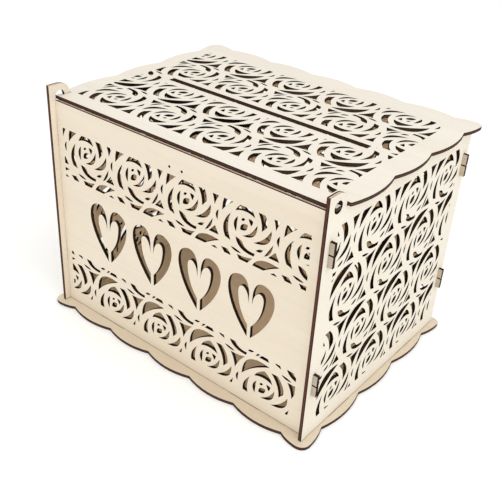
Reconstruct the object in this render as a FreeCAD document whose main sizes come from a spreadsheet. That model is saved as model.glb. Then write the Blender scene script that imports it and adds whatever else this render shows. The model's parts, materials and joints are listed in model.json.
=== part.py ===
# Wedding card box: a flat-pack box of laser-cut plywood with a hinged, slotted lid.
# Four pierced walls tab into each other and into a scalloped base plate, and the lid
# turns on its own two tongues in the ears of the side walls.
# Frame: millimetres, +Z up, origin under the middle of the base, hinge side towards -Y.
import FreeCAD, Part
import os
import re
import Sketcher

doc = FreeCAD.newDocument("CardBox")
Vector = FreeCAD.Vector

# Driving dimensions: name, millimetres, meaning
SIZES = (
    ("ply", 3.0, "thickness of the plywood sheet"),
    ("box_width", 285.0, "across the outer faces of the two sides"),
    ("box_depth", 218.0, "along a side, front edge to back edge"),
    ("wall_height", 202.0, "top edge of the walls above the base plate"),
    ("panel_inset", 6.0, "front and back panels behind the edges of the sides"),
    ("fit_gap", 0.1, "play all round a tab in its slot"),
    ("end_tab", 20.0, "height of an end tab of the front and back panels"),
    ("tab_reach", 4.2, "end tab beyond the outer face of the side"),
    ("tab_slit", 1.0, "slit that lets an end tab spring"),
    ("tab_low", 57.7, "middle of the lower end tabs above the ground"),
    ("tab_high", 173.5, "middle of the upper end tabs above the ground"),
    ("foot_tab", 30.0, "length of a bottom tab in the base plate"),
    ("panel_foot", 80.0, "bottom tabs of the panels, from the middle"),
    ("side_foot", 55.0, "bottom tabs of the sides, from the middle"),
    ("reach_sides", 2.8, "cusps of the base and lid beyond the sides' outer faces"),
    ("reach_ends", 1.8, "cusps of the base and lid beyond the sides' front and back edges"),
    ("scallop_rise", 4.5, "scallop beyond its cusps"),
    ("corner_long", 25.7, "last cusp of a long edge to the end of the plate"),
    ("corner_short", 31.0, "last cusp of a short edge to the end of the plate"),
    ("corner_round", 8.0, "radius of the plate corners"),
    ("hinge_behind", 2.4, "hinge line behind the inner face of the front panel"),
    ("hinge_rise", 1.2, "hinge line above the middle of the lid's sheet"),
    ("hinge_hole", 9.6, "diameter of the hole in an ear"),
    ("tongue_play", 0.4, "back corner of a turning tongue to its hole"),
    ("ear_radius", 10.8, "ear round the hinge line"),
    ("ear_clear", 0.6, "lid notch behind the ear"),
    ("lip_clear", 0.2, "front edge of the turning lid to the front panel"),
    ("side_play", 0.5, "lid between the ears, to each side"),
    ("lid_rest", 0.2, "closed lid above the walls"),
    ("slot_length", 210.0, "card slot in the lid"),
    ("slot_width", 6.5, "card slot in the lid, front to back"),
    ("slot_shift", 2.0, "card slot behind the middle of the box"),
    ("strip_end", 4.5, "plain wood beyond each end of the card slot"),
    ("strip_edge", 7.65, "plain wood before and behind the card slot"),
    ("rose_pitch", 57.6, "rose to rose in a row"),
    ("rose_row", 47.4, "row of roses to the next row"),
    ("low_rose_shift", -18.4, "a rose of the lower band, from the middle"),
    ("low_rose_rise", 9.8, "eyes of the lower band's roses above its edge"),
    ("top_rose_shift", 11.3, "a rose of the upper band, from the middle"),
    ("top_rose_drop", 17.1, "eyes of the upper band's roses below its edge"),
    ("side_rose_shift", -14.7, "a rose of a side's lowest row, from the middle"),
    ("side_rose_rise", 12.6, "eyes of a side's lowest row above the edge of the roses"),
    ("lid_rose_shift", 12.8, "a rose of the lid's first row, from the middle"),
    ("lid_rose_back", 20.7, "eyes of the lid's first row behind the edge of the roses"),
    ("panel_margin", 11.5, "ends of a panel to its rose bands"),
    ("low_margin", 12.0, "lower rose band above the base plate"),
    ("low_band", 44.3, "height of the lower rose band"),
    ("top_margin", 22.5, "upper rose band below the top edge of the panels"),
    ("top_band", 47.4, "height of the upper rose band"),
    ("side_margin", 15.0, "front and back edges of a side to its roses"),
    ("side_low", 14.0, "roses of a side above the base plate"),
    ("side_top", 13.3, "roses of a side below its top edge"),
    ("lid_margin", 14.5, "roses of the lid inside the outer faces of the sides"),
    ("lid_front", 15.8, "roses of the lid behind its front edge"),
    ("lid_back", 22.8, "roses of the lid before the back cusps"),
    ("heart_pitch", 53.0, "heart to heart across a panel"),
    ("heart_width", 45.0, "width of a heart"),
    ("heart_height", 54.0, "height of a heart"),
    ("heart_stroke", 10.0, "widest part of a heart's outline"),
    ("heart_bridge", 3.6, "wood left at the cleft and the point of a heart"),
    ("pin_hole", 2.0, "screw hole above the upper band"),
    ("pin_gap", 13.0, "screw hole to screw hole"),
    ("pin_rise", 6.2, "screw holes above the upper band"),
)
sheet = doc.addObject("Spreadsheet::Sheet", "Sizes")
for row, (alias, value, meaning) in enumerate(SIZES, 1):
    sheet.set(f"A{row}", meaning)
    sheet.set(f"B{row}", str(value))
    sheet.setAlias(f"B{row}", alias)

# Places that several pieces share, worked out from the driving dimensions
PLACES = (
    ("inner_half", "box_width / 2 - ply", "inner face of a side from the middle"),
    ("wall_top", "ply + wall_height", "top edge of the walls"),
    ("panel_face", "box_depth / 2 - panel_inset", "outer face of a panel from the middle"),
    ("hinge_line", "ply + hinge_behind - panel_face", "hinge line, front to back"),
    ("hinge_height", "wall_top + lid_rest + ply / 2 + hinge_rise", "hinge line above the ground"),
    ("tongue_back", "sqrt((hinge_hole / 2 - tongue_play)^2 - (ply / 2 + hinge_rise)^2)",
     "back edge of a tongue behind the hinge line"),
    ("lip", "sqrt((hinge_behind - lip_clear)^2 - (ply / 2 - hinge_rise)^2)",
     "front edge of the lid ahead of the hinge line"),
    ("cusp_half", "box_width / 2 + reach_sides", "cusps of the short edges from the middle"),
    ("cusp_end", "box_depth / 2 + reach_ends", "cusps of the long edges from the middle"),
    ("plate_half", "cusp_half + scallop_rise", "end of the base plate from the middle"),
    ("plate_end", "cusp_end + scallop_rise", "front of the base plate from the middle"),
    ("notch", "hinge_line + ear_radius + ear_clear", "lid notches behind the ears"),
)
for row, (alias, formula, meaning) in enumerate(PLACES, len(SIZES) + 2):
    sheet.set(f"A{row}", meaning)
    sheet.set(f"B{row}", f"={formula}")
    sheet.setAlias(f"B{row}", alias)
doc.recompute()

LONG_SCALLOPS = 5
SHORT_SCALLOPS = 3
HEARTS = 4
KNOWN = {alias for alias, _, _ in SIZES + PLACES}


def on_sheet(formula):
    """The formula with each of the sheet's names spelled as a reference to its cell."""
    return re.sub("[a-z_]+", lambda word: f"Sizes.{word[0]}" if word[0] in KNOWN else word[0], formula)


def worked(formula):
    """The value of a formula in the sheet's own names."""
    return float(sheet.evalExpression(on_sheet(formula)))


# Flat pieces: one sketch of the cut outline, padded by the thickness of the sheet

def flat_body(name, plane_role, backwards=False):
    """An empty body with a sketch on one of its own planes and a pad of one ply."""
    body = doc.addObject("PartDesign::Body", name)
    sketch = body.newObject("Sketcher::SketchObject", f"{name}_outline")
    plane = next(f for f in body.Origin.OriginFeatures if f.Role == plane_role)
    sketch.AttachmentSupport = [(plane, "")]
    sketch.MapMode = "FlatFace"
    pad = body.newObject("PartDesign::Pad", f"{name}_sheet")
    pad.Profile = sketch
    pad.Reversed = backwards
    pad.setExpression("Length", "Sizes.ply")
    return body, sketch


def bind(sketch, dimensions, joins=()):
    """Adds the joins, then the dimensions (kind, places, formula), each tied to the sheet."""
    first = sketch.ConstraintCount + len(joins)
    sized = [Sketcher.Constraint(kind, *places, worked(formula)) for kind, places, formula in dimensions]
    sketch.addConstraint([*joins, *sized])
    for index, (_, _, formula) in enumerate(dimensions, first):
        sketch.setExpression(f"Constraints[{index}]", on_sheet(formula))


def draw(sketch, corners):
    """A closed counter-clockwise loop; a corner's third formula is the radius of the arc after it."""
    spots = [Vector(worked(corner[0]), worked(corner[1]), 0) for corner in corners]
    first = sketch.GeometryCount
    for corner, start, end in zip(corners, spots, spots[1:] + spots[:1]):
        if len(corner) == 2:
            sketch.addGeometry(Part.LineSegment(start, end))
            continue
        radius = worked(corner[2])
        chord = end - start
        outwards = Vector(chord.y, -chord.x, 0).normalize()
        rise = radius - (radius ** 2 - chord.Length ** 2 / 4) ** 0.5
        sketch.addGeometry(Part.Arc(start, (start + end) / 2 + outwards * rise, end))
    joins = []
    dimensions = []
    for index, corner in enumerate(corners):
        edge = first + index
        following = first + (index + 1) % len(corners)
        joins.append(Sketcher.Constraint("Coincident", edge, 2, following, 1))
        dimensions.append(("DistanceX", (-1, 1, edge, 1), corner[0]))
        dimensions.append(("DistanceY", (-1, 1, edge, 1), corner[1]))
        if len(corner) == 3:
            dimensions.append(("Radius", (edge,), corner[2]))
    bind(sketch, dimensions, joins)


def rectangle(sketch, middle_across, middle_up, half_across, half_up):
    """A closed rectangle about its middle, all four given as formulas."""
    left = f"{middle_across} - ( {half_across} )"
    right = f"{middle_across} + ( {half_across} )"
    low = f"{middle_up} - ( {half_up} )"
    high = f"{middle_up} + ( {half_up} )"
    draw(sketch, [(left, low), (right, low), (right, high), (left, high)])


# Scalloped plates: cusps in a straight line with an arc from each to the next

def full_arc(run):
    """Radius of an arc that rises by one scallop between two cusps a run apart."""
    return f"( {run} )^2 / ( 8 * scallop_rise ) + scallop_rise / 2"


def half_arc(run):
    """Radius of an arc that leaves a cusp and is level one rise higher, a run away."""
    return f"( ( {run} )^2 + scallop_rise^2 ) / ( 2 * scallop_rise )"


LONG_RUN = f"( 2 * plate_half - 2 * corner_long ) / {LONG_SCALLOPS}"
SHORT_RUN = f"( 2 * plate_end - 2 * corner_short ) / {SHORT_SCALLOPS}"
LONG_END_ARC = half_arc("corner_long - corner_round")
SHORT_END_ARC = half_arc("corner_short - corner_round")


def long_edge(side):
    """Corners along the front (side -1) or back (side 1) edge, ending in the corner round."""
    up = f"{side} * cusp_end"
    corners = []
    for step in range(LONG_SCALLOPS + 1):
        across = f"{-side} * ( {step} * {LONG_RUN} - plate_half + corner_long )"
        radius = full_arc(LONG_RUN) if step < LONG_SCALLOPS else LONG_END_ARC
        corners.append((across, up, radius))
    corners.append((f"{-side} * ( plate_half - corner_round )", f"{side} * plate_end", "corner_round"))
    return corners


def short_edge(side, skipped=0):
    """Corners along the left (side -1) or right (side 1) edge, ending in the corner round."""
    across = f"{side} * cusp_half"
    corners = [(f"{side} * plate_half", f"{-side} * ( plate_end - corner_round )", SHORT_END_ARC)]
    for step in range(SHORT_SCALLOPS + 1):
        up = f"{side} * ( {step} * {SHORT_RUN} - plate_end + corner_short )"
        radius = full_arc(SHORT_RUN) if step < SHORT_SCALLOPS else SHORT_END_ARC
        corners.append((across, up, radius))
    corners.append((f"{side} * plate_half", f"{side} * ( plate_end - corner_round )", "corner_round"))
    return corners[skipped:]


# Base plate: scallops all round, and a slot for each bottom tab of the walls
base_plate, base_sketch = flat_body("base_plate", "XY_Plane")
front_edge = long_edge(-1)
back_edge = long_edge(1)
level_start = ("-plate_half + corner_round", "-plate_end", LONG_END_ARC)
back_start = ("plate_half - corner_round", "plate_end", LONG_END_ARC)
draw(base_sketch, [level_start, *front_edge, *short_edge(1), back_start, *back_edge, *short_edge(-1)])
SLOT_HALF = "ply / 2 + fit_gap"
TAB_HALF = "foot_tab / 2 + fit_gap"
for hand in (-1, 1):
    for end in (-1, 1):
        panel_middle = f"{end} * ( panel_face - ply / 2 )"
        side_middle = f"{hand} * ( inner_half + ply / 2 )"
        rectangle(base_sketch, f"{hand} * panel_foot", panel_middle, TAB_HALF, SLOT_HALF)
        rectangle(base_sketch, side_middle, f"{end} * side_foot", SLOT_HALF, TAB_HALF)


# Lid: scalloped behind the ears, narrower between them, with tongues in line with its straight front
lid_blank, lid_sketch = flat_body("lid_blank", "XY_Plane")
NARROW = "( inner_half - side_play )"
FRONT = "hinge_line - lip"
FIRST_ARC = full_arc(f"{SHORT_RUN} - plate_end + corner_short - notch")
right_scallops = short_edge(1, skipped=2)
left_scallops = short_edge(-1)
lid_right = [
    ("box_width / 2", FRONT),
    ("box_width / 2", "hinge_line + tongue_back"),
    (NARROW, "hinge_line + tongue_back"),
    (NARROW, "notch"),
    ("cusp_half", "notch", FIRST_ARC),
]
lid_left = [("-cusp_half", "notch")] + [(f"-1 * {x}", y) for x, y in reversed(lid_right[:-1])]
before_notch = left_scallops[-3][:2] + (FIRST_ARC,)
lid_back_edges = [*right_scallops, back_start, *back_edge, *left_scallops[:-3], before_notch]
draw(lid_sketch, [*lid_right, *lid_back_edges, *lid_left])
rectangle(lid_sketch, "0", "slot_shift", "slot_length / 2", "slot_width / 2")
lid_blank.setExpression("Placement.Base.z", on_sheet("wall_top + lid_rest"))


# Side walls: a plain edge all round, an ear with the hinge hole, mortises for the end tabs

def side_blank(name, inner_face):
    """A side wall with its inner face or its outer face at the given place across the box."""
    body, sketch = flat_body(name, "YZ_Plane")
    foot = []
    for end in (-1, 1):
        left = f"{end} * side_foot - foot_tab / 2"
        right = f"{end} * side_foot + foot_tab / 2"
        foot += [(left, "ply"), (left, "0"), (right, "0"), (right, "ply")]
    edge = "box_depth / 2"
    drop = "( hinge_height - wall_top )"
    ear_foot = f"hinge_line + sqrt( ear_radius^2 - {drop}^2 )"
    ear = [
        (f"{edge}", "ply"),
        (f"{edge}", "wall_top"),
        (ear_foot, "wall_top", "ear_radius"),
        ("hinge_line", "hinge_height + ear_radius"),
        (f"-1 * {edge}", "hinge_height + ear_radius"),
        (f"-1 * {edge}", "ply"),
    ]
    draw(sketch, foot + ear)
    hole = sketch.addGeometry(Part.Circle(Vector(worked("hinge_line"), worked("hinge_height"), 0),
                                          Vector(0, 0, 1), worked("hinge_hole / 2")))
    bind(sketch, [
        ("DistanceX", (-1, 1, hole, 3), "hinge_line"),
        ("DistanceY", (-1, 1, hole, 3), "hinge_height"),
        ("Radius", (hole,), "hinge_hole / 2"),
    ])
    for end in (-1, 1):
        for height in ("tab_low", "tab_high"):
            rectangle(sketch, f"{end} * ( panel_face - ply / 2 )", height, SLOT_HALF, "end_tab / 2 + fit_gap")
    body.setExpression("Placement.Base.x", on_sheet(inner_face))
    return body


# Front and back panels: between the sides, with split end tabs and bottom tabs

def panel_blank(name, outer_face, backwards):
    """A panel whose sheet lies behind its outer face."""
    body, sketch = flat_body(name, "XZ_Plane", backwards)
    shoulder = "inner_half"
    tip = "( box_width / 2 + tab_reach )"
    foot = []
    for hand in (-1, 1):
        left = f"{hand} * panel_foot - foot_tab / 2"
        right = f"{hand} * panel_foot + foot_tab / 2"
        foot += [(left, "ply"), (left, "0"), (right, "0"), (right, "ply")]
    right_end = [(shoulder, "ply")]
    for height in ("tab_low", "tab_high"):
        right_end += [
            (shoulder, f"{height} - end_tab / 2"),
            (tip, f"{height} - end_tab / 2"),
            (tip, f"{height} - tab_slit / 2"),
            (shoulder, f"{height} - tab_slit / 2"),
            (shoulder, f"{height} + tab_slit / 2"),
            (tip, f"{height} + tab_slit / 2"),
            (tip, f"{height} + end_tab / 2"),
            (shoulder, f"{height} + end_tab / 2"),
        ]
    right_end.append((shoulder, "wall_top"))
    left_end = [(f"-1 * {across}", up) for across, up in reversed(right_end)]
    draw(sketch, foot + right_end + left_end)
    body.setExpression("Placement.Base.y", on_sheet(outer_face))
    return body


# Rose tracery: one rose of curved cut-outs, repeated over a staggered lattice and clipped to a band.
# Corners and the bulge of the side after each are shares of the rose pitch and the row, from the eye.
ROSE = {
    "eye": ((-.056, -.061), (.033, -.034), (.059, .065), (-.030, .036)),
    "bud": ((.205, .120), (.172, -.078), (-.007, -.156), (.113, -.049)),
    "crown": ((-.144, .241), (.014, .287), (.167, .245), None, (.026, .435), None),
    "upper_right": ((.144, .477), None, (.247, .485), (.363, .275), (.290, .068), (.253, .285)),
    "right": ((.427, .127), (.382, -.089), (.181, -.181), (.316, -.061)),
    "left": ((-.231, .118), (-.330, -.084), (-.297, -.300), None, (-.210, -.325), (-.255, -.105)),
    "lower": ((-.127, -.222), (-.009, -.388), (.194, -.395), (.017, -.318)),
    "upper_left": ((-.368, .146), (-.174, .378), (.094, .568), (-.252, .513)),
    "gap": ((-.585, .470), None, (-.498, .190), None, (-.340, .513), None),
}
ROSE_CHORD = worked("rose_pitch") * 0.28
HEART_CHORD = worked("heart_width") * 0.27
LEAST_SHARE = 0.55


def bulged_side(start, bulge, end, chord):
    """Points about a chord apart, from start up to but without end, on the curve past the bulge."""
    if bulge is None:
        return [start]
    control = bulge * 2 - (start + end) / 2
    count = max(2, round(((bulge - start).Length + (end - bulge).Length) / chord))
    shares = [step / count for step in range(count)]
    return [start * (1 - s) ** 2 + control * (2 * s * (1 - s)) + end * s ** 2 for s in shares]


def cut_out(chain, chord):
    """A flat face inside a closed chain of corners, each followed by the bulge of its side."""
    corners = chain[0::2]
    bulges = chain[1::2]
    points = []
    for start, bulge, end in zip(corners, bulges, corners[1:] + corners[:1]):
        points += bulged_side(start, bulge, end, chord)
    return Part.Face(Part.makePolygon(points + points[:1]))


def roses(band, eye, turned=1, kept_plain=None):
    """Rose cut-outs of a lattice through the eye, clipped to the band (left, low, right, high)."""
    pitch = worked("rose_pitch")
    row_step = worked("rose_row")
    left, low, right, high = band
    window = Part.makePlane(right - left, high - low, Vector(left, low, 0))
    if kept_plain:
        plain_left, plain_low, plain_right, plain_high = kept_plain
        corner = Vector(plain_left, plain_low, 0)
        window = window.cut(Part.makePlane(plain_right - plain_left, plain_high - plain_low, corner))
    first_row = int((low - eye.y) // row_step)
    last_row = int((high - eye.y) // row_step) + 1
    faces = []
    for row in range(first_row, last_row + 1):
        start = eye.x + (row % 2) * pitch / 2
        first = int((left - start) // pitch)
        last = int((right - start) // pitch) + 1
        for column in range(first, last + 1):
            middle = Vector(start + column * pitch, eye.y + row * row_step, 0)
            for chain in ROSE.values():
                spots = [p and middle + Vector(p[0] * pitch, p[1] * row_step, 0) * turned for p in chain]
                face = cut_out(spots, ROSE_CHORD)
                box = face.BoundBox
                if box.XMin < right and box.XMax > left and box.YMin < high and box.YMax > low:
                    faces.append(face)
    clipped = []
    for face in faces:
        least = face.Area * LEAST_SHARE
        clipped += [part for part in face.common(window).Faces if part.Area > least]
    return clipped


def heart_row(middle_up):
    """Open hearts in a row, each cut as two strokes with wood left at the cleft and the point."""
    half = worked("heart_width / 2")
    height = worked("heart_height")
    stroke = worked("heart_stroke")
    bridge = worked("heart_bridge / 2")
    core = half - stroke
    outer_lobe = Vector(.52 * half, .50 * height, 0)
    shoulder = Vector(half, .20 * height, 0)
    inner_shoulder = Vector(core, .18 * height, 0)
    inner_lobe = Vector(.65 * core, .33 * height, 0)
    chain = [
        Vector(bridge, .25 * height, 0), Vector(.22 * half, .44 * height, 0),
        outer_lobe, Vector(.90 * half, .41 * height, 0),
        shoulder, Vector(.72 * half, -.14 * height, 0),
        Vector(bridge, -.50 * height, 0), None,
        Vector(bridge, -.30 * height, 0), Vector(.74 * core, -.08 * height, 0),
        inner_shoulder, Vector(.94 * core, .29 * height, 0),
        inner_lobe, Vector(.31 * core, .26 * height, 0),
        Vector(bridge, .12 * height, 0), None,
    ]
    faces = []
    for index in range(HEARTS):
        middle = Vector((index - (HEARTS - 1) / 2) * worked("heart_pitch"), middle_up, 0)
        for hand in (-1, 1):
            stroke_spots = [p and middle + Vector(hand * p.x, p.y, 0) for p in chain]
            faces.append(cut_out(stroke_spots, HEART_CHORD))
    return faces


def pierced(label, blank, faces, turn):
    """The blank with every face cut through its sheet; turn carries the flat faces to its plane."""
    depth = worked("ply")
    tools = [face.extrude(Vector(0, 0, 3 * depth)) for face in faces]
    tracery = doc.addObject("Part::Feature", f"{label}_tracery")
    tracery.Shape = Part.makeCompound(tools)
    tracery.Placement = turn
    cut = doc.addObject("Part::Cut", label)
    cut.Base = blank
    cut.Tool = tracery
    cut.Refine = False
    cut.Label = label
    return cut


UPRIGHT = FreeCAD.Rotation(Vector(1, 0, 0), Vector(0, 0, 1), Vector(0, -1, 0), "XYZ")
SIDEWAYS = FreeCAD.Rotation(Vector(0, 1, 0), Vector(0, 0, 1), Vector(1, 0, 0), "XYZ")

panel_half = worked("inner_half - panel_margin")
low_start = worked("ply + low_margin")
low_end = worked("ply + low_margin + low_band")
top_end = worked("wall_top - top_margin")
top_start = worked("wall_top - top_margin - top_band")
low_eye = Vector(worked("low_rose_shift"), low_start + worked("low_rose_rise"), 0)
top_eye = Vector(worked("top_rose_shift"), top_end - worked("top_rose_drop"), 0)
low_roses = roses((-panel_half, low_start, panel_half, low_end), low_eye)
top_roses = roses((-panel_half, top_start, panel_half, top_end), top_eye)
hearts = heart_row((low_end + top_start) / 2)
pins = []
for hand in (-1, 1):
    place = Vector(hand * worked("pin_gap / 2"), top_end + worked("pin_rise"), 0)
    pins.append(Part.Face(Part.Wire(Part.makeCircle(worked("pin_hole / 2"), place))))
panel_faces = low_roses + top_roses + hearts
front_blank = panel_blank("front_blank", "-1 * panel_face", True)
back_blank = panel_blank("back_blank", "panel_face", False)
front_turn = FreeCAD.Placement(Vector(0, worked("2 * ply - panel_face"), 0), UPRIGHT)
half_turn = FreeCAD.Placement(Vector(), FreeCAD.Rotation(Vector(0, 0, 1), 180))
front_panel = pierced("front_panel", front_blank, panel_faces + pins, front_turn)
back_panel = pierced("back_panel", back_blank, panel_faces, half_turn * front_turn)

side_half = worked("box_depth / 2 - side_margin")
side_start = worked("ply + side_low")
side_band = (-side_half, side_start, side_half, worked("wall_top - side_top"))
side_eye = Vector(worked("side_rose_shift"), side_start + worked("side_rose_rise"), 0)
side_roses = roses(side_band, side_eye)
left_blank = side_blank("left_blank", "-1 * box_width / 2")
right_blank = side_blank("right_blank", "inner_half")
left_turn = FreeCAD.Placement(Vector(worked("-1 * box_width / 2 - ply"), 0, 0), SIDEWAYS)
right_turn = FreeCAD.Placement(Vector(worked("inner_half - ply"), 0, 0), SIDEWAYS)
left_side = pierced("left_side", left_blank, side_roses, left_turn)
right_side = pierced("right_side", right_blank, side_roses, right_turn)

lid_half = worked("box_width / 2 - lid_margin")
lid_start = worked("hinge_line - lip + lid_front")
lid_band = (-lid_half, lid_start, lid_half, worked("cusp_end - lid_back"))
strip_half = worked("slot_length / 2 + strip_end")
strip_low = worked("slot_shift - slot_width / 2 - strip_edge")
strip_high = worked("slot_shift + slot_width / 2 + strip_edge")
lid_plain = (-strip_half, strip_low, strip_half, strip_high)
lid_eye = Vector(worked("lid_rose_shift"), lid_start + worked("lid_rose_back"), 0)
lid_roses = roses(lid_band, lid_eye, -1, lid_plain)
lid_turn = FreeCAD.Placement(Vector(0, 0, worked("wall_top + lid_rest - ply")), FreeCAD.Rotation())
lid = pierced("lid", lid_blank, lid_roses, lid_turn)

doc.recompute()

# Hand out the pieces once every one of them is sound
PIECES = (base_plate, front_panel, back_panel, left_side, right_side, lid)
for item in doc.Objects:
    if "Invalid" in item.State or "Error" in item.State:
        raise RuntimeError(f"{item.Label} did not build: {item.State}")
for piece in PIECES:
    if piece.Shape.isNull() or not piece.Shape.isValid() or len(piece.Shape.Solids) != 1:
        raise RuntimeError(f"{piece.Label} is not one sound solid")
os.makedirs("parts", exist_ok=True)
for piece in PIECES:
    piece.Shape.exportStep(f"parts/{piece.Label}.step")
    print(piece.Label, len(piece.Shape.Faces), "faces", round(piece.Shape.Volume / 1000, 2), "cm3")
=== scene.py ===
# A wedding card box that slots together from six sheets of thin laser-cut plywood.
# Metres, +Z up, the hinge side towards -Y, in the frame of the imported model.
import json
import math

import bpy
from mathutils import Matrix, Vector


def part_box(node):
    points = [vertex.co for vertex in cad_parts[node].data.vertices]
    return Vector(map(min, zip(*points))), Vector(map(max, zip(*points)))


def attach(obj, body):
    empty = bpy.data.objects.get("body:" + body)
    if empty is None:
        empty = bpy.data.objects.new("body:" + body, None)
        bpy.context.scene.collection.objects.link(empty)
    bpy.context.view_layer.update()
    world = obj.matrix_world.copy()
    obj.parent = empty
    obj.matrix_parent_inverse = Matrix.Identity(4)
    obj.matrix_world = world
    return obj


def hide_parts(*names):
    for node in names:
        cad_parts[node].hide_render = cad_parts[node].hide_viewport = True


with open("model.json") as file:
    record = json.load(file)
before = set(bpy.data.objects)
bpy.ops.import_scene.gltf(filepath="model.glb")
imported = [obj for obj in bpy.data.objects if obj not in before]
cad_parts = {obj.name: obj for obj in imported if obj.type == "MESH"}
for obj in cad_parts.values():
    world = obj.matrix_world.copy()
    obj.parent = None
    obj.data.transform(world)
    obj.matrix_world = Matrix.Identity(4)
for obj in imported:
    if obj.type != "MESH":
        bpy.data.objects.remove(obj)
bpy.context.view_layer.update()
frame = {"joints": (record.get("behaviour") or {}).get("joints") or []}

# Base plate: a scalloped plate of thin birch plywood, cut out by laser and lying flat on the table.
# The bottom tabs of the four walls stand in its eight slots.
MM = 0.001
SIDE_STEPS = 8
ARRIS = 0.15 * MM
SCALLOP_RISE = 4.5 * MM
CORNER_LONG = 25.7 * MM
CORNER_SHORT = 31.0 * MM
CORNER_ROUND = 8.0 * MM
LONG_SCALLOPS = 5
SHORT_SCALLOPS = 3
FOOT_TAB = 30.0 * MM
PANEL_FOOT = 80.0 * MM
SIDE_FOOT = 55.0 * MM
FIT_GAP = 0.1 * MM
WELD = 0.001 * MM

plate_low, plate_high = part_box("base_plate")
ply = plate_high.z - plate_low.z
plate_half = plate_high.x
plate_end = plate_high.y
cusp_half = plate_half - SCALLOP_RISE
cusp_end = plate_end - SCALLOP_RISE
wall_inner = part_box("right_side")[0].x
wall_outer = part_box("right_side")[1].x
panel_face = -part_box("front_panel")[0].y


def bowed(start, side, end):
    """Control point of a curved side: it passes a bulge, or bows outwards with a radius."""
    middle = (start + end) / 2
    if isinstance(side, float):
        along = end - start
        outwards = Vector((along.y, -along.x)).normalized()
        side = middle + outwards * (side - math.sqrt(side ** 2 - along.length_squared / 4))
    return side * 2 - middle


def flat_sheet(name, loops, thickness, arris=0.0, spread=0.0):
    """A flat mesh sheet about the origin; a loop is corners in order, each with the side after it.

    A side is None where it is straight, a radius, or the point that it bulges to.
    The arris is a narrow chamfer all round, inside the outline unless the outline is spread by it."""
    bpy.ops.object.select_all(action="DESELECT")
    bpy.ops.curve.primitive_bezier_circle_add()
    sheet = bpy.context.object
    sheet.name = name
    curve = sheet.data
    curve.dimensions = "2D"
    curve.fill_mode = "BOTH"
    curve.extrude = thickness / 2 - arris
    curve.bevel_depth = arris
    curve.bevel_resolution = 0
    curve.offset = spread - arris
    curve.resolution_u = SIDE_STEPS
    curve.splines.clear()
    for loop in loops:
        spline = curve.splines.new("BEZIER")
        spline.bezier_points.add(len(loop) - 1)
        spline.use_cyclic_u = True
        points = list(spline.bezier_points)
        for point, (corner, _) in zip(points, loop):
            point.co = (corner.x, corner.y, 0)
        for index, point in enumerate(points):
            following = points[(index + 1) % len(points)]
            start, side = loop[index]
            end = loop[(index + 1) % len(loop)][0]
            if side is None:
                point.handle_right_type = "VECTOR"
                following.handle_left_type = "VECTOR"
                continue
            control = bowed(start, side, end)
            point.handle_right_type = "FREE"
            following.handle_left_type = "FREE"
            point.handle_right = (start + (control - start) * 2 / 3).to_3d()
            following.handle_left = (end + (control - end) * 2 / 3).to_3d()
    bpy.ops.object.convert(target="MESH")
    bpy.ops.object.mode_set(mode="EDIT")
    bpy.ops.mesh.select_all(action="SELECT")
    bpy.ops.mesh.remove_doubles(threshold=WELD)
    bpy.ops.mesh.normals_make_consistent(inside=False)
    bpy.ops.object.mode_set(mode="OBJECT")
    return sheet


def rectangle(middle_across, middle_up, half_across, half_up):
    """A straight loop about its middle."""
    left = middle_across - half_across
    right = middle_across + half_across
    low = middle_up - half_up
    high = middle_up + half_up
    corners = (left, low), (right, low), (right, high), (left, high)
    return [(Vector(corner), None) for corner in corners]


def full_arc(run):
    """Radius of a scallop between two cusps a run apart."""
    return run ** 2 / (8 * SCALLOP_RISE) + SCALLOP_RISE / 2


def half_arc(run):
    """Radius of the arc from the last cusp to the level start of a corner, a run away."""
    return (run ** 2 + SCALLOP_RISE ** 2) / (2 * SCALLOP_RISE)


long_run = (2 * plate_half - 2 * CORNER_LONG) / LONG_SCALLOPS
short_run = (2 * plate_end - 2 * CORNER_SHORT) / SHORT_SCALLOPS
long_end_arc = half_arc(CORNER_LONG - CORNER_ROUND)
short_end_arc = half_arc(CORNER_SHORT - CORNER_ROUND)


def long_edge(hand):
    """Corners and sides of the front (hand -1) or back (hand 1) edge, with the corner round after it."""
    level = Vector((hand * (plate_half - CORNER_ROUND), hand * plate_end))
    edge = [(level, long_end_arc)]
    for step in range(LONG_SCALLOPS + 1):
        cusp = Vector((-hand * (step * long_run - plate_half + CORNER_LONG), hand * cusp_end))
        edge.append((cusp, full_arc(long_run) if step < LONG_SCALLOPS else long_end_arc))
    edge.append((Vector((-hand * (plate_half - CORNER_ROUND), hand * plate_end)), CORNER_ROUND))
    return edge


def short_edge(hand):
    """Corners and sides of the left (hand -1) or right (hand 1) edge, with the corner round after it."""
    edge = [(Vector((hand * plate_half, -hand * (plate_end - CORNER_ROUND))), short_end_arc)]
    for step in range(SHORT_SCALLOPS + 1):
        cusp = Vector((hand * cusp_half, hand * (step * short_run - plate_end + CORNER_SHORT)))
        edge.append((cusp, full_arc(short_run) if step < SHORT_SCALLOPS else short_end_arc))
    edge.append((Vector((hand * plate_half, hand * (plate_end - CORNER_ROUND))), CORNER_ROUND))
    return edge


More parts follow.
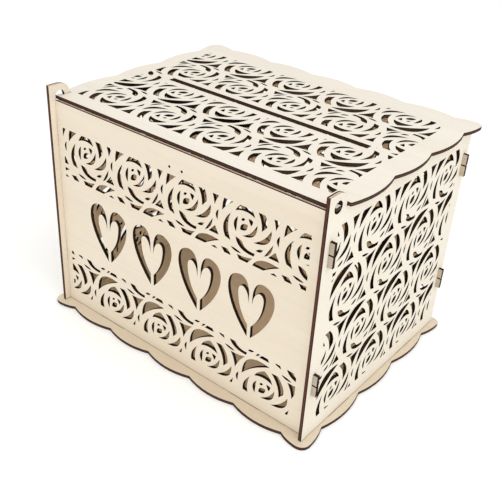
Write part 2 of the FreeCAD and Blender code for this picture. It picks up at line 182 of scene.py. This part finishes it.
class Signal:
    """A socket in a material's node tree; arithmetic on it adds Math nodes."""

    def __init__(self, tree, socket):
        self.tree = tree
        self.socket = socket

    def node(self, kind, settings, sockets, output=0):
        """Adds a node of a type, with its settings first and then a value or a link for each socket."""
        node = self.tree.nodes.new(kind)
        for name, value in settings.items():
            setattr(node, name, value)
        for name, value in sockets.items():
            if isinstance(value, Signal):
                self.tree.links.new(value.socket, node.inputs[name])
            else:
                node.inputs[name].default_value = value
        return Signal(self.tree, node.outputs[output])

    def maths(self, operation, first, second=0.0):
        """A Math node on two values or signals."""
        return self.node("ShaderNodeMath", {"operation": operation}, {0: first, 1: second})

    def __add__(self, other):
        return self.maths("ADD", self, other)

    def __sub__(self, other):
        return self.maths("SUBTRACT", self, other)

    def __rsub__(self, other):
        return self.maths("SUBTRACT", other, self)

    def __mul__(self, other):
        return self.maths("MULTIPLY", self, other)

    __radd__ = __add__
    __rmul__ = __mul__

    def between(self, low, high):
        """Smoothly from 0 at low to 1 at high."""
        return self.node("ShaderNodeMapRange", {"interpolation_type": "SMOOTHSTEP"},
                         {"Value": self, "From Min": low, "From Max": high})

    def blend(self, first, second):
        """First colour where this is 0, second where it is 1."""
        settings = {"data_type": "RGBA"}
        return self.node("ShaderNodeMix", settings, {"Factor": self, 6: first, 7: second}, output=2)


X, Y, Z = range(3)
FACE_ON = 0.9
FAR = 1.0
SMOOTH_ANGLE = math.radians(35)


def new_material(name):
    """A material with an empty tree, its shader node and its Object coordinates as three signals."""
    material = bpy.data.materials.new(name)
    material.use_nodes = True
    tree = material.node_tree
    shader = tree.nodes["Principled BSDF"]
    place = tree.nodes.new("ShaderNodeTexCoord")
    split = Signal(tree, place.outputs["Object"])
    parts = split.node("ShaderNodeSeparateXYZ", {}, {0: split})
    axes = [Signal(tree, output) for output in parts.socket.node.outputs]
    return material, tree, shader, axes


def noise_on(along, across, through, scales, detail=3.0, roughness=0.55, distortion=0.0):
    """Noise of about one feature per scale, with a scale of its own along each direction."""
    vector = along.node("ShaderNodeCombineXYZ", {}, {
        0: along * (1 / scales[0]), 1: across * (1 / scales[1]), 2: through * (1 / scales[2])})
    return along.node("ShaderNodeTexNoise", {}, {
        "Vector": vector, "Scale": 1.0, "Detail": detail, "Roughness": roughness, "Distortion": distortion})


FACE_PALE = (0.84, 0.79, 0.70)
FACE_WARM = (0.79, 0.72, 0.61)
FACE_STREAK = (0.66, 0.56, 0.44)
FACE_FLECK = (0.48, 0.37, 0.26)
# Brown of the painted shade on the faces: on the end tabs past the sides and in the crease at a wall's
# foot.
PAINTED_SHADE_BROWN = (0.26, 0.20, 0.14, 1.0)
# Height of the painted shade line in the crease at a wall's foot.
CREASE_SHADE_WIDE = 1.2 * MM
OUTLINE_CHAR = (0.028, 0.011, 0.008, 1.0)
OUTLINE_RED = (0.130, 0.046, 0.032, 1.0)
OUTLINE_BROWN = (0.090, 0.050, 0.034, 1.0)
# Light tan of a cut edge's middle where it faces up: a painted highlight for the light from above.
OUTLINE_LIT_TAN = (0.66, 0.52, 0.41, 1.0)
OUTLINE_CORES = OUTLINE_RED, OUTLINE_BROWN
PLATE_CORES = OUTLINE_BROWN, OUTLINE_BROWN
CUT_CHAR = (0.010, 0.006, 0.004, 1.0)
CUT_CORE = (0.045, 0.027, 0.016, 1.0)
OUTLINE_GLOSS = 0.08
CUT_GLOSS = 0.02
VENEER_GLOSS = 0.35

# Length, width and depth of one feature of each noise, in metres; on edges the depth is in sheets.
CLOUD = (0.16, 0.030, 0.05)
BAND = (0.22, 0.0042, 0.05)
FIBRE = (0.035, 0.00045, 0.05)
FLECK = (0.0085, 0.00055, 0.05)
EDGE_WAVER = (0.006, 0.006, 3.0)
EDGE_STROKE = (0.00035, 0.00035, 6.0)
EDGE_PATCH = (0.012, 0.012, 2.0)
EDGE_DRIFT = (0.09, 0.09, 9.0)


def veneer(name, ways, shift, tint_and_light, shaded_beyond, shaded_below):
    """The sanded face: pale birch with long faint grain, soft bands and short darker flecks.

    The tint sets the sheet's colour, partly as painted light. Painted shade darkens it past a place
    along its grain, on the tabs out of the sides, and in a fine line along its lowest edge, by the base
    plate."""
    material, tree, shader, axes = new_material(name)
    grain, across, through = ways
    pale, warm, streak, fleck = [
        (*(part * share for part, share in zip(colour, tint_and_light)), 1.0)
        for colour in (FACE_PALE, FACE_WARM, FACE_STREAK, FACE_FLECK)]
    along = axes[grain] + shift
    side = axes[across] + shift * 0.37
    depth = axes[through] + shift * 0.11
    cloud = noise_on(along, side, depth, CLOUD, detail=2.0)
    bands = noise_on(along, side, depth, BAND, detail=4.0, distortion=0.6)
    fibres = noise_on(along, side, depth, FIBRE, detail=3.0, roughness=0.6)
    flecks = noise_on(along, side, depth, FLECK, detail=1.0)
    tone = cloud.between(0.34, 0.70) * 0.5 + bands.between(0.45, 0.72) * 0.35
    colour = tone.blend(pale, warm)
    streaks = fibres.between(0.52, 0.80) * 0.22 + bands.between(0.60, 0.80) * 0.10
    colour = streaks.blend(colour, streak)
    marks = flecks.between(0.70, 0.80) * 0.35
    colour = marks.blend(colour, fleck)
    reach = axes[grain].maths("ABSOLUTE", axes[grain])
    # Painted shade, cloudy, on the end tabs that stand out past the side walls.
    tab_shade = reach.between(shaded_beyond - 1.0 * MM, shaded_beyond + 0.5 * MM) * (0.33 + cloud * 0.4)
    # Painted shade in a fine line along the lowest edge, in the crease where a wall meets the base plate.
    crease_shade = 1 - axes[across].between(shaded_below, shaded_below + CREASE_SHADE_WIDE)
    colour = (tab_shade + crease_shade * 0.95).blend(colour, PAINTED_SHADE_BROWN)
    tree.links.new(colour.socket, shader.inputs["Base Color"])
    rough = 0.56 + fibres * 0.16 + marks * 0.1
    tree.links.new(rough.socket, shader.inputs["Roughness"])
    height = fibres * 0.6 + bands * 0.4 - marks
    bump = height.node("ShaderNodeBump", {}, {"Height": height, "Strength": 0.16, "Distance": 0.0004})
    tree.links.new(bump.socket, shader.inputs["Normal"])
    shader.inputs["Specular IOR Level"].default_value = VENEER_GLOSS
    return material


def burnt_edge(name, ways, low_face, shift, char, cores, top_light_share, gloss):
    """The laser-cut edge: black at both faces, browner in the core, with two dark glue lines.

    The core goes from one colour to another in long patches. Where an edge faces up, a share of
    its upper middle is painted light tan, a painted highlight for the light from above."""
    material, tree, shader, axes = new_material(name)
    grain, across, through = ways
    facing = axes[0].node("ShaderNodeTexCoord", {}, {}, output="Normal")
    upward = facing.node("ShaderNodeSeparateXYZ", {}, {0: facing}, output=Z).between(0.90, 0.98)
    along = axes[grain] + shift
    side = axes[across] + shift * 0.53
    depth = (axes[through] - low_face) * (1 / ply)
    waver = noise_on(along, side, depth, EDGE_WAVER, detail=2.0)
    level = depth + (waver - 0.5) * 0.10
    inner = level.between(0.12, 0.30) * (1 - level.between(0.70, 0.88))
    # Painted highlight: the upper middle of an edge that faces up, as if lit from above.
    lit_from_above = depth.between(0.45, 0.53) * (1 - depth.between(0.88, 0.96)) * upward
    glue = level.between(0.27, 0.32) * (1 - level.between(0.35, 0.40))
    glue = glue + level.between(0.60, 0.65) * (1 - level.between(0.68, 0.73))
    strokes = noise_on(along, side, depth, EDGE_STROKE, detail=2.0)
    patches = noise_on(along, side, depth, EDGE_PATCH, detail=3.0)
    drift = noise_on(along, side, depth, EDGE_DRIFT, detail=1.0)
    core = drift.between(0.48, 0.68).blend(*cores)
    colour = (inner * (0.62 + patches * 0.7)).blend(char, core)
    colour = (glue * 0.40).blend(colour, char)
    colour = (strokes.between(0.45, 0.75) * 0.40).blend(colour, char)
    # Lays the painted highlight on the edges that face up.
    colour = (lit_from_above * top_light_share * (0.8 + patches * 0.4)).blend(colour, OUTLINE_LIT_TAN)
    tree.links.new(colour.socket, shader.inputs["Base Color"])
    rough = 0.62 + strokes * 0.25
    tree.links.new(rough.socket, shader.inputs["Roughness"])
    height = strokes * 0.7 + inner * 0.3
    bump = height.node("ShaderNodeBump", {}, {"Height": height, "Strength": 0.25, "Distance": 0.0002})
    tree.links.new(bump.socket, shader.inputs["Normal"])
    shader.inputs["Specular IOR Level"].default_value = gloss
    return material


def inside(field, along, up):
    """Whether a place lies between the low and the high corner of a field."""
    low, high = field
    return low.x < along < high.x and low.y < up < high.y


def dress(piece, ways, shift, tint_and_light, fields=(), cores=OUTLINE_CORES, cut_core=CUT_CORE,
          shaded_beyond=FAR, shaded_below=-FAR):
    """Gives a sheet its veneer on both faces and burnt edges on every cut, and smooths the curves.

    The ways are the axes along the grain, across it and through the sheet. The outline has the two
    cores. The cuts inside the fields, given along and across the grain, are blacker, with a core of
    their own. The shift moves the grain on, so that no two sheets are alike."""
    grain, across, through = ways
    low_face = min(vertex.co[through] for vertex in piece.data.vertices)
    name = piece.name
    sheet_materials = (
        veneer(f"{name}_veneer", ways, shift, tint_and_light, shaded_beyond, shaded_below),
        # The outline takes the full painted highlight where it faces up; the cuts take none.
        burnt_edge(f"{name}_outline", ways, low_face, shift, OUTLINE_CHAR, cores,
                   top_light_share=1.0, gloss=OUTLINE_GLOSS),
        burnt_edge(f"{name}_cuts", ways, low_face, shift, CUT_CHAR, (cut_core, CUT_CHAR),
                   top_light_share=0.0, gloss=CUT_GLOSS),
    )
    piece.data.materials.clear()
    for material in sheet_materials:
        piece.data.materials.append(material)
    for face in piece.data.polygons:
        if abs(face.normal[through]) > FACE_ON:
            face.material_index = 0
            continue
        place = face.center[grain], face.center[across]
        face.material_index = 2 if any(inside(field, *place) for field in fields) else 1
    bpy.ops.object.select_all(action="DESELECT")
    piece.select_set(True)
    bpy.context.view_layer.objects.active = piece
    bpy.ops.object.shade_smooth_by_angle(angle=SMOOTH_ANGLE)


def stand(piece, place, turns):
    """Carries a flat sheet to its place and turn, and leaves the object at the origin."""
    bpy.ops.object.select_all(action="DESELECT")
    piece.select_set(True)
    bpy.context.view_layer.objects.active = piece
    piece.location = place
    piece.rotation_euler = turns
    bpy.ops.object.transform_apply(location=True, rotation=True, scale=False)


def hand_over(piece, node, body):
    """The piece takes the place of its solid and moves with the body."""
    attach(piece, body)
    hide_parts(node)


BASE_TINT = (0.89, 0.82, 0.72)
BASE_SHIFT = 0.31
slot_half = ply / 2 + FIT_GAP
foot_half = FOOT_TAB / 2 + FIT_GAP
plate_loops = [[*long_edge(-1), *short_edge(1), *long_edge(1), *short_edge(-1)]]
for hand in (-1, 1):
    for end in (-1, 1):
        plate_loops.append(rectangle(hand * PANEL_FOOT, end * (panel_face - ply / 2), foot_half, slot_half))
        plate_loops.append(rectangle(hand * (wall_inner + ply / 2), end * SIDE_FOOT, slot_half, foot_half))
base_board = flat_sheet("base_board", plate_loops, ply, ARRIS)
stand(base_board, (0, 0, ply / 2), (0, 0, 0))
dress(base_board, (X, Y, Z), BASE_SHIFT, BASE_TINT, cores=PLATE_CORES)
hand_over(base_board, "base_plate", "box")

# Front and back panels: the two long walls, of the same plywood, between the sides.
# Split end tabs spring into mortises in the sides, and two bottom tabs stand in the base plate.
# Each is pierced with two bands of roses and a row of open hearts; the front has two screw holes.
END_TAB = 20.0 * MM
TAB_SLIT = 1.0 * MM
TAB_HEIGHTS = (57.7 * MM, 173.5 * MM)
ROSE_PITCH = 57.6 * MM
ROSE_ROW = 47.4 * MM
PANEL_MARGIN = 11.5 * MM
LEFT_MARGIN = 7.0 * MM
LOW_MARGIN = 12.0 * MM
LOW_BAND = 44.3 * MM
TOP_MARGIN = 22.5 * MM
TOP_BAND = 47.4 * MM
TOP_TRIM = 1.7 * MM
SLIVER = 1.2 * MM
LOW_ROSE = Vector((-18.4 * MM, 9.8 * MM))
TOP_ROSE = Vector((11.3 * MM, -17.1 * MM))
HEARTS = 4
HEART_PITCH = 53.0 * MM
HEART_WIDTH = 45.0 * MM
HEART_HEIGHT = 54.0 * MM
HEART_STROKE = 10.0 * MM
HEART_BRIDGE = 3.6 * MM
PIN_HOLE = 2.0 * MM
PIN_GAP = 13.0 * MM
PIN_RISE = 6.2 * MM
# The front's warm tint is partly painted light, for how the lamps fall on the front; the left side takes it
# too, as light bounced onto it from the front panel.
PANEL_TINT_AND_LIGHT = (1.0, 0.95, 0.88)
BACK_TINT = (1.07, 0.97, 0.85)
FRONT_SHIFT = 0.0
BACK_SHIFT = 1.7
EDGE_WIDE = Vector((1.0 * MM, 1.0 * MM))

# One rose, in millimetres from its eye: corners, each followed by the bulge of the side after it.
ROSE = (
    ((-3.2, -2.9), (1.9, -1.6), (3.4, 3.1), (-1.7, 1.7)),
    ((-2.4, 5.2), (-0.4, 5.4), (0.6, 7.2), (-1.5, 7.0)),
    ((4.2, 8.5), (5.2, 6.0), (6.7, 3.6), (7.6, 5.6), (8.2, 7.7), (6.3, 8.4)),
    ((-6.1, 6.7), (-9.4, 0.4), (-7.1, -5.9), (-6.7, 0.4)),
    ((12.2, 5.9), (9.4, -4.0), (-0.6, -7.3), (6.6, -2.6)),
    ((-8.3, 11.4), (0.8, 13.6), (9.6, 11.6), (6.4, 16.9), (1.5, 20.6), (-4.2, 16.9)),
    ((8.3, 22.6), None, (14.2, 23.0), (19.6, 15.5), (20.9, 8.0), None, (16.7, 3.2), (14.6, 13.5)),
    ((25.1, 6.3), (22.3, -4.6), (10.3, -8.9), (18.9, -2.6)),
    ((-13.3, 6.7), (-19.2, -4.2), (-17.2, -14.2), None, (-12.2, -15.6), (-15.1, -4.8)),
    ((-7.2, -10.8), (-1.6, -18.4), (10.6, -20.5), None,
     (11.4, -18.0), (3.4, -17.0), (-0.6, -13.0), (-3.4, -11.5)),
    ((-21.2, 6.9), (-10.0, 17.9), (5.4, 26.9), (-14.5, 24.3)),
    ((-24.8, 5.3), (-27.1, 1.1), (-25.4, -3.2), (-25.2, 1.1)),
    ((-33.7, 22.3), (-30.4, 16.0), (-28.7, 9.0), (-24.9, 17.1), (-19.6, 24.3), (-26.6, 22.6)),
    ((30.0, -9.3), None, (24.2, -15.8), None, (33.7, -15.8), None),
    ((27.3, -4.5), (25.4, -11.6), (20.4, -16.2), (23.7, -10.6)),
    ((18.7, -11.8), (16.4, -14.6), (12.5, -14.8), (15.6, -12.6)),
    ((-11.0, -20.8), (-6.9, -22.9), (-1.5, -22.8), (-6.5, -21.1)),
)


def closed(chain, middle, turned=1):
    """A loop from corners and bulges in turn, moved to its middle."""
    spots = [spot and middle + Vector(spot) * turned for spot in chain]
    return list(zip(spots[0::2], spots[1::2]))


def boolean(piece, operation, tool):
    """Joins, cuts or crosses the piece with a closed tool, which is used up."""
    bpy.ops.object.select_all(action="DESELECT")
    piece.select_set(True)
    bpy.context.view_layer.objects.active = piece
    bpy.ops.object.modifier_add(type="BOOLEAN")
    change = piece.modifiers[-1]
    change.operation = operation
    change.solver = "MANIFOLD"
    change.object = tool
    bpy.ops.object.modifier_apply(modifier=change.name)
    bpy.data.objects.remove(tool)


def flat_box(name, low, high, thickness):
    """A plain block over a rectangle, as a tool."""
    middle = (low + high) / 2
    half = (high - low) / 2
    return flat_sheet(name, [rectangle(middle.x, middle.y, half.x, half.y)], thickness)


def rose_tool(low, high, eye, turned=1):
    """Prisms of all the rose cut-outs of a staggered lattice through the eye, cut off at the band.

    A cut-out that would leave only a sliver in the band is left out."""
    loops = []
    first_row = math.floor((low.y - eye.y) / ROSE_ROW)
    last_row = math.ceil((high.y - eye.y) / ROSE_ROW)
    for row in range(first_row, last_row + 1):
        start = eye.x + (row % 2) * ROSE_PITCH / 2
        first = math.floor((low.x - start) / ROSE_PITCH)
        last = math.ceil((high.x - start) / ROSE_PITCH)
        for column in range(first, last + 1):
            middle = Vector((start + column * ROSE_PITCH, eye.y + row * ROSE_ROW))
            for chain in ROSE:
                petal = [spot and Vector(spot) * MM for spot in chain]
                reach = [middle + spot * turned for spot in petal if spot]
                inwards = [max(spot[axis] for spot in reach) - low[axis] for axis in (X, Y)]
                inwards += [high[axis] - min(spot[axis] for spot in reach) for axis in (X, Y)]
                if min(inwards) > SLIVER:
                    loops.append(closed(petal, middle, turned))
    tool = flat_sheet("rose_tool", loops, 3 * ply)
    for face in (-1, 1):
        flare = flat_sheet("flare_tool", loops, 2 * ARRIS, ARRIS, spread=ARRIS)
        stand(flare, (0, 0, face * ply / 2), (0, 0, 0))
        boolean(tool, "UNION", flare)
    boolean(tool, "INTERSECT", flat_box("band_tool", low, high, 4 * ply))
    return tool


def heart_loops(middle_up):
    """Open hearts in a row, each two strokes with wood left at the cleft and the point."""
    half = HEART_WIDTH / 2
    core = half - HEART_STROKE
    bridge = HEART_BRIDGE / 2
    stroke = (
        (bridge, 0.25), (0.22 * half, 0.44), (0.52 * half, 0.50), (0.90 * half, 0.41),
        (half, 0.20), (0.72 * half, -0.14), (bridge, -0.50), None,
        (bridge, -0.30), (0.74 * core, -0.08), (core, 0.18), (0.94 * core, 0.29),
        (0.65 * core, 0.33), (0.31 * core, 0.26), (bridge, 0.12), None,
    )
    loops = []
    for index in range(HEARTS):
        middle = Vector(((index - (HEARTS - 1) / 2) * HEART_PITCH, middle_up))
        for hand in (-1, 1):
            spots = [spot and Vector((hand * spot[0], spot[1] * HEART_HEIGHT)) for spot in stroke]
            loops.append(closed(spots, middle))
    return loops


def round_hole(across, up, radius):
    """A round loop of four quarters."""
    quarter = [Vector((radius, 0)), Vector((0, radius)), Vector((-radius, 0)), Vector((0, -radius))]
    return [(Vector((across, up)) + spot, radius) for spot in quarter]


def panel_outline():
    """Outline of a long wall: bottom tabs, then the right end, the top and the left end."""
    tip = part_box("front_panel")[1].x
    corners = []
    for hand in (-1, 1):
        left = hand * PANEL_FOOT - FOOT_TAB / 2
        right = hand * PANEL_FOOT + FOOT_TAB / 2
        corners += [(left, ply), (left, 0), (right, 0), (right, ply)]
    right_end = [(wall_inner, ply)]
    for height in TAB_HEIGHTS:
        for low, high in ((-END_TAB, -TAB_SLIT), (TAB_SLIT, END_TAB)):
            right_end.append((wall_inner, height + low / 2))
            right_end.append((tip, height + low / 2))
            right_end.append((tip, height + high / 2))
            right_end.append((wall_inner, height + high / 2))
    right_end.append((wall_inner, wall_top))
    left_end = [(-across, up) for across, up in reversed(right_end)]
    return [(Vector(corner), None) for corner in corners + right_end + left_end]


wall_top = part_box("front_panel")[1].z
band_left = LEFT_MARGIN - wall_inner
band_right = wall_inner - PANEL_MARGIN
low_start = ply + LOW_MARGIN
low_end = low_start + LOW_BAND
top_end = wall_top - TOP_MARGIN
top_start = top_end - TOP_BAND
heart_middle = (low_end + top_start) / 2


def long_wall(name, extra_holes):
    """A panel still lying flat, with its tracery cut out."""
    loops = [panel_outline(), *heart_loops(heart_middle), *extra_holes]
    wall = flat_sheet(name, loops, ply, ARRIS)
    low_eye = Vector((0, low_start)) + LOW_ROSE
    top_eye = Vector((0, top_end)) + TOP_ROSE
    low_corners = Vector((band_left, low_start)), Vector((band_right, low_end))
    top_corners = Vector((band_left, top_start + TOP_TRIM)), Vector((band_right, top_end))
    boolean(wall, "DIFFERENCE", rose_tool(*low_corners, low_eye))
    boolean(wall, "DIFFERENCE", rose_tool(*top_corners, top_eye))
    return wall


pins = [round_hole(hand * PIN_GAP / 2, top_end + PIN_RISE, PIN_HOLE / 2) for hand in (-1, 1)]
UPRIGHT = math.radians(90)
front_board = long_wall("front_board", pins)
stand(front_board, (0, ply / 2 - panel_face, 0), (UPRIGHT, 0, 0))
panel_fields = (
    (Vector((band_left, low_start)) - EDGE_WIDE, Vector((-band_left, top_end)) + EDGE_WIDE),
    (Vector((-FAR, ply)) + EDGE_WIDE, Vector((-wall_inner, TAB_HEIGHTS[1] + END_TAB))),
    (Vector((wall_inner, ply)) + EDGE_WIDE, Vector((FAR, TAB_HEIGHTS[1] + END_TAB))),
)
# Painted shade on the end tabs past the sides and in a fine line along the foot.
dress(front_board, (X, Z, Y), FRONT_SHIFT, PANEL_TINT_AND_LIGHT, panel_fields,
      shaded_beyond=wall_outer, shaded_below=ply)
hand_over(front_board, "front_panel", "box")
back_board = long_wall("back_board", [])
stand(back_board, (0, panel_face - ply / 2, 0), (UPRIGHT, 0, math.pi))
# Painted shade on the end tabs past the sides and in a fine line along the foot.
dress(back_board, (X, Z, Y), BACK_SHIFT, BACK_TINT, panel_fields,
      shaded_beyond=wall_outer, shaded_below=ply)
hand_over(back_board, "back_panel", "box")

# Side walls: two like sheets, pierced with roses all over inside a plain edge.
# Mortises hold the end tabs of the panels, and the round hole in the ear is the hinge.
SIDE_MARGIN = 15.0 * MM
SIDE_LOW = 14.0 * MM
SIDE_TOP = 13.3 * MM
SIDE_ROSE = Vector((-14.7 * MM, 12.58 * MM))
# The right side's paler, cooler tint is partly painted light, for the lamp that falls on it from the right.
SIDE_TINT_AND_LIGHT = (0.99, 0.98, 0.96)
LEFT_SHIFT = 2.9
RIGHT_SHIFT = 4.3
EAR_RADIUS = 10.8 * MM
HINGE_HOLE = 9.6 * MM
hinge_line, hinge_height = frame["joints"][0]["pos_m"][1:]
side_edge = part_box("right_side")[1].y


def side_loops():
    """Outline, hinge hole and mortises of a side wall."""
    outline = []
    for end in (-1, 1):
        left = end * SIDE_FOOT - FOOT_TAB / 2
        right = end * SIDE_FOOT + FOOT_TAB / 2
        outline += [((left, ply), None), ((left, 0), None), ((right, 0), None), ((right, ply), None)]
    ear_foot = hinge_line + math.sqrt(EAR_RADIUS ** 2 - (hinge_height - wall_top) ** 2)
    outline += [
        ((side_edge, ply), None),
        ((side_edge, wall_top), None),
        ((ear_foot, wall_top), EAR_RADIUS),
        ((hinge_line, hinge_height + EAR_RADIUS), None),
        ((-side_edge, hinge_height + EAR_RADIUS), None),
        ((-side_edge, ply), None),
    ]
    loops = [[(Vector(corner), side) for corner, side in outline]]
    loops.append(round_hole(hinge_line, hinge_height, HINGE_HOLE / 2))
    for end in (-1, 1):
        for height in TAB_HEIGHTS:
            loops.append(rectangle(end * (panel_face - ply / 2), height, slot_half, END_TAB / 2 + FIT_GAP))
    return loops


side_start = ply + SIDE_LOW
side_band = side_edge - SIDE_MARGIN
side_corners = Vector((-side_band, side_start)), Vector((side_band, wall_top - SIDE_TOP))
hinge = Vector((hinge_line, hinge_height))
hole_half = Vector((HINGE_HOLE / 2, HINGE_HOLE / 2)) + EDGE_WIDE
side_fields = (
    (side_corners[0] - EDGE_WIDE, side_corners[1] + EDGE_WIDE),
    (hinge - hole_half, hinge + hole_half),
)
side_walls = (
    # The left side takes the front's tint, painted light bounced onto it from the front panel.
    ("left_side", -1, LEFT_SHIFT, PANEL_TINT_AND_LIGHT),
    ("right_side", 1, RIGHT_SHIFT, SIDE_TINT_AND_LIGHT),
)
for node, hand, shift, tint_and_light in side_walls:
    side_board = flat_sheet(node.replace("side", "board"), side_loops(), ply, ARRIS)
    boolean(side_board, "DIFFERENCE", rose_tool(*side_corners, Vector((0, side_start)) + SIDE_ROSE))
    stand(side_board, (hand * (wall_inner + ply / 2), 0, 0), (UPRIGHT, 0, UPRIGHT))
    # Painted shade in a fine line along the foot of each side, where it meets the base plate.
    dress(side_board, (Y, Z, X), shift, tint_and_light, side_fields, shaded_below=ply)
    hand_over(side_board, node, "box")

# Lid: a scalloped sheet with roses round a long card slot, straight and narrower between the ears.
# Its own two tongues turn in the round holes of the ears, so it needs no other hinge.
EAR_CLEAR = 0.6 * MM
TONGUE_PLAY = 0.4 * MM
SIDE_PLAY = 0.5 * MM
SLOT_LENGTH = 210.0 * MM
SLOT_WIDTH = 6.5 * MM
SLOT_SHIFT = 2.0 * MM
STRIP_END = 4.5 * MM
STRIP_EDGE = 7.65 * MM
LID_MARGIN = 14.5 * MM
LID_LEFT = 9.5 * MM
LID_FRONT = 15.8 * MM
LID_BACK = 22.8 * MM
LID_ROSE = Vector((12.8 * MM, 20.7 * MM))
LID_TINT = (1.0, 1.0, 1.0)
LID_SHIFT = 6.1
LID_CUT_CORE = (0.115, 0.070, 0.042, 1.0)

# The sheet rests on the walls, so it takes up most of the clearance that its solid keeps.
LID_SETTLE = 0.15 * MM
LIP_SETTLE = 0.3 * MM
lid_low, lid_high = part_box("lid")
lid_narrow = wall_inner - SIDE_PLAY
lid_lip = lid_low.y - LIP_SETTLE
tongue_reach = HINGE_HOLE / 2 - TONGUE_PLAY
tongue_back = hinge_line + math.sqrt(tongue_reach ** 2 - (hinge_height - lid_low.z) ** 2)
notch = hinge_line + EAR_RADIUS + EAR_CLEAR

right_scallops = short_edge(1)[2:]
left_scallops = short_edge(-1)
first_arc = full_arc(right_scallops[0][0].y - notch)
lid_right = [
    (wall_outer, lid_lip),
    (wall_outer, tongue_back),
    (lid_narrow, tongue_back),
    (lid_narrow, notch),
]
lid_outline = [(Vector(corner), None) for corner in lid_right]
lid_outline.append((Vector((cusp_half, notch)), first_arc))
lid_outline += [*right_scallops, *long_edge(1), *left_scallops[:-3]]
lid_outline.append((left_scallops[-3][0], first_arc))
lid_outline.append((Vector((-cusp_half, notch)), None))
lid_outline += [(Vector((-across, up)), None) for across, up in reversed(lid_right)]
card_slot = rectangle(0, SLOT_SHIFT, SLOT_LENGTH / 2, SLOT_WIDTH / 2)
lid_board = flat_sheet("lid_board", [lid_outline, card_slot], ply, ARRIS)

lid_start = lid_low.y + LID_FRONT
strip_half = Vector((SLOT_LENGTH / 2 + STRIP_END, SLOT_WIDTH / 2 + STRIP_EDGE))
strip_middle = Vector((0, SLOT_SHIFT))
lid_eye = Vector((0, lid_start)) + LID_ROSE
lid_corners = (
    Vector((LID_LEFT - wall_outer, lid_start)),
    Vector((wall_outer - LID_MARGIN, cusp_end - LID_BACK)),
)
field_low, field_high = lid_corners[0] - EDGE_WIDE, lid_corners[1] + EDGE_WIDE
slot_low, slot_high = card_slot[0][0] - EDGE_WIDE, card_slot[2][0] + EDGE_WIDE
lid_fields = (
    (field_low, Vector((field_high.x, slot_low.y))),
    (Vector((field_low.x, slot_high.y)), field_high),
    (field_low, Vector((slot_low.x, field_high.y))),
    (Vector((slot_high.x, field_low.y)), field_high),
)
lid_tool = rose_tool(*lid_corners, lid_eye, -1)
boolean(lid_tool, "DIFFERENCE",
        flat_box("strip_tool", strip_middle - strip_half, strip_middle + strip_half, 4 * ply))
boolean(lid_board, "DIFFERENCE", lid_tool)
stand(lid_board, (0, 0, (lid_low.z + lid_high.z) / 2 - LID_SETTLE), (0, 0, 0))
dress(lid_board, (X, Y, Z), LID_SHIFT, LID_TINT, lid_fields, cores=PLATE_CORES, cut_core=LID_CUT_CORE)
hand_over(lid_board, "lid", "lid")

# Studio: a wide white floor under a plain pale sky.
# A soft lamp hangs above on the right, and a weaker one fills the front from the left.
# A faint warm glow inside the box adds to the light that bounces about between its wooden walls.
FLOOR_SIZE = 12.0
FLOOR_WHITE = (0.93, 0.93, 0.92, 1.0)
FLOOR_ROUGH = 0.8
FLOOR_LIFT = 0.16
SKY_WHITE = (1.0, 0.995, 0.985, 1.0)
SKY_STRENGTH = 0.85
LAMP_SIZE = 1.2
BOX_MIDDLE = Vector((0, 0, 0.1))
GLOW_POWER = 0.055
GLOW_COLOUR = (1.0, 0.70, 0.40)
GLOW_SIZE = 0.06
bpy.ops.object.select_all(action="DESELECT")
bpy.ops.mesh.primitive_plane_add(size=FLOOR_SIZE, location=(0, 0, 0))
floor = bpy.context.object
floor.name = "floor"
floor_paint, _, floor_shader, _ = new_material("floor_paint")
floor_shader.inputs["Base Color"].default_value = FLOOR_WHITE
floor_shader.inputs["Roughness"].default_value = FLOOR_ROUGH
floor_shader.inputs["Emission Color"].default_value = (1.0, 1.0, 1.0, 1.0)
floor_shader.inputs["Emission Strength"].default_value = FLOOR_LIFT
floor.data.materials.append(floor_paint)

scene = bpy.context.scene
world = bpy.data.worlds.new("studio")
scene.world = world
world.use_nodes = True
sky = world.node_tree.nodes["Background"]
sky.inputs["Color"].default_value = SKY_WHITE
sky.inputs["Strength"].default_value = SKY_STRENGTH
scene.view_settings.view_transform = "Standard"

lamps = (
    ("lamp_right", Vector((0.9, -0.3, 1.5)), 9.0),
    ("lamp_left", Vector((-0.8, -1.3, 1.1)), 1.2),
)
for name, place, power in lamps:
    bpy.ops.object.light_add(type="AREA", location=place)
    lamp = bpy.context.object
    lamp.name = name
    lamp.data.size = LAMP_SIZE
    lamp.data.energy = power
    lamp.rotation_euler = (BOX_MIDDLE - place).to_track_quat("-Z", "Y").to_euler()

bpy.ops.object.light_add(type="POINT", location=BOX_MIDDLE)
glow = bpy.context.object
glow.name = "lamp_inside"
glow.data.energy = GLOW_POWER
glow.data.color = GLOW_COLOUR
glow.data.shadow_soft_size = GLOW_SIZE
glow.visible_camera = False

# Camera: where the photograph was taken from, above the front right corner.
# Its place, turn and focal length were fitted to the edges of the box.
CAMERA_PLACE = Vector((0.3691, -0.4916, 0.4457))
CAMERA_HEADING = math.radians(37.036)
CAMERA_TILT = math.radians(31.365)
CAMERA_ROLL = math.radians(3.7007)
FOCAL_PIXELS = 773.452
IMAGE_PIXELS = 500
SENSOR_WIDTH = 36.0
bpy.ops.object.camera_add()
camera = bpy.context.object
camera.data.sensor_width = SENSOR_WIDTH
camera.data.lens = FOCAL_PIXELS / IMAGE_PIXELS * SENSOR_WIDTH
aim = Matrix.Rotation(CAMERA_HEADING, 4, "Z") @ Matrix.Rotation(UPRIGHT - CAMERA_TILT, 4, "X")
camera.matrix_world = Matrix.Translation(CAMERA_PLACE) @ aim @ Matrix.Rotation(CAMERA_ROLL, 4, "Z")
scene.camera = camera
